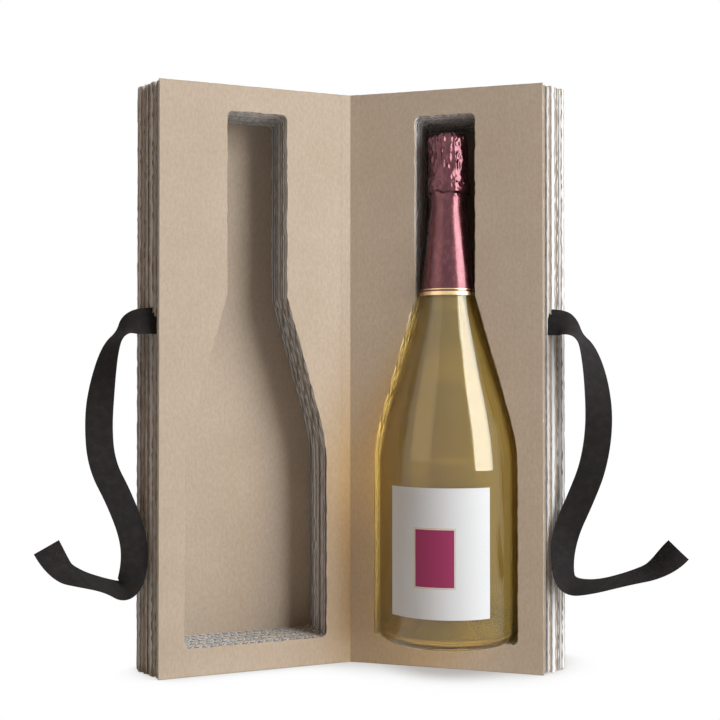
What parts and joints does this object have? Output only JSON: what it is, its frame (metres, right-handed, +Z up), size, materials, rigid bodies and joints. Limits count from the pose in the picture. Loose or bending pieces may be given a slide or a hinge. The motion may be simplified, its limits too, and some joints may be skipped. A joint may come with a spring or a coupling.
{
  "type": "bottle gift box",
  "caption": "Book-like gift box of stacked die-cut corrugated board that opens on a fold, with a bottle-shaped recess in each half, ribbon ties and a bottle in place.",
  "frame": {"origin": "centre of the base of the open box's bounding box without the ribbons, on the floor", "axes": "+Z up along the fold; +X from the left half to the half with the bottle; +Y away from the viewer, towards the fold"},
  "size_m": [0.4831, 0.1388, 0.4486],
  "materials": {
    "kraft_face": "matt kraft liner",
    "corrugated": "raw cut corrugated board",
    "cover_board": "matt kraft cover",
    "ribbon": "matt black cotton tape",
    "bottle_glass": "clear glass",
    "wine": "clear golden liquid",
    "cork": "natural cork",
    "wire_cage": "plain wire",
    "foil_capsule": "crumpled lacquered foil",
    "front_label": "matt white paper"
  },
  "bodies": {
    "right_half": {"right_facing_sheet": "kraft_face", "right_sheet_2": "corrugated", "right_sheet_3": "corrugated", "right_sheet_4": "corrugated", "right_sheet_5": "corrugated", "right_sheet_6": "corrugated", "right_sheet_7": "corrugated", "right_sheet_8": "corrugated", "right_sheet_9": "corrugated", "right_sheet_10": "corrugated", "right_sheet_11": "corrugated", "right_sheet_12": "corrugated", "right_sheet_13": "corrugated", "right_back_sheet": "cover_board", "right_ribbon": "ribbon", "bottle_glass": "bottle_glass", "wine": "wine", "cork": "cork", "wire_cage": "wire_cage", "foil_capsule": "foil_capsule", "front_label": "front_label"},
    "left_half": {"left_facing_sheet": "kraft_face", "left_sheet_2": "corrugated", "left_sheet_3": "corrugated", "left_sheet_4": "corrugated", "left_sheet_5": "corrugated", "left_sheet_6": "corrugated", "left_sheet_7": "corrugated", "left_sheet_8": "corrugated", "left_back_sheet": "cover_board", "left_ribbon": "ribbon"}
  },
  "joints": [
    {"name": "fold", "type": "hinge", "parent": "right_half", "child": "left_half", "pos_m": [-0.00278, -0.00185, 0.22], "axis": [0, 0, 1], "range_deg": [-35.8, 144.2]}
  ]
}
